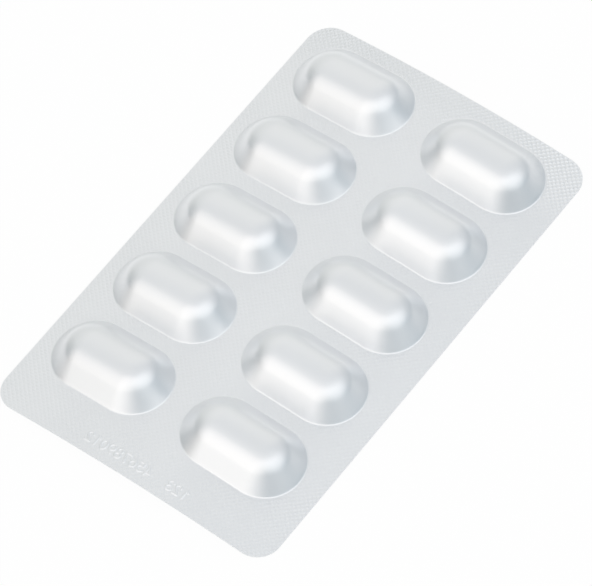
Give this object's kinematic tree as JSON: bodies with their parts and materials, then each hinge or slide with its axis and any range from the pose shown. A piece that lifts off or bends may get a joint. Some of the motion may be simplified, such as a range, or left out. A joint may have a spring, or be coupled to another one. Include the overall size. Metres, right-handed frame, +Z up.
{
  "type": "foil blister pack of tablets",
  "caption": "Sealed aluminium foil blister pack of oblong tablets: domed oblong pockets in columns on a thin sheet with rounded corners and a slight curl.",
  "frame": {"origin": "centre of the footprint, on the surface that the pack lies on", "axes": "+X across the pack, +Y along it towards the end with the narrow margin, +Z up through the tops of the pockets"},
  "size_m": [0.062, 0.1, 0.0068],
  "materials": {
    "foil": "satin cold-formed laminate, sealed with a fine diamond knurl"
  },
  "bodies": {
    "root": {"blister_pack": "foil"}
  },
  "joints": []
}
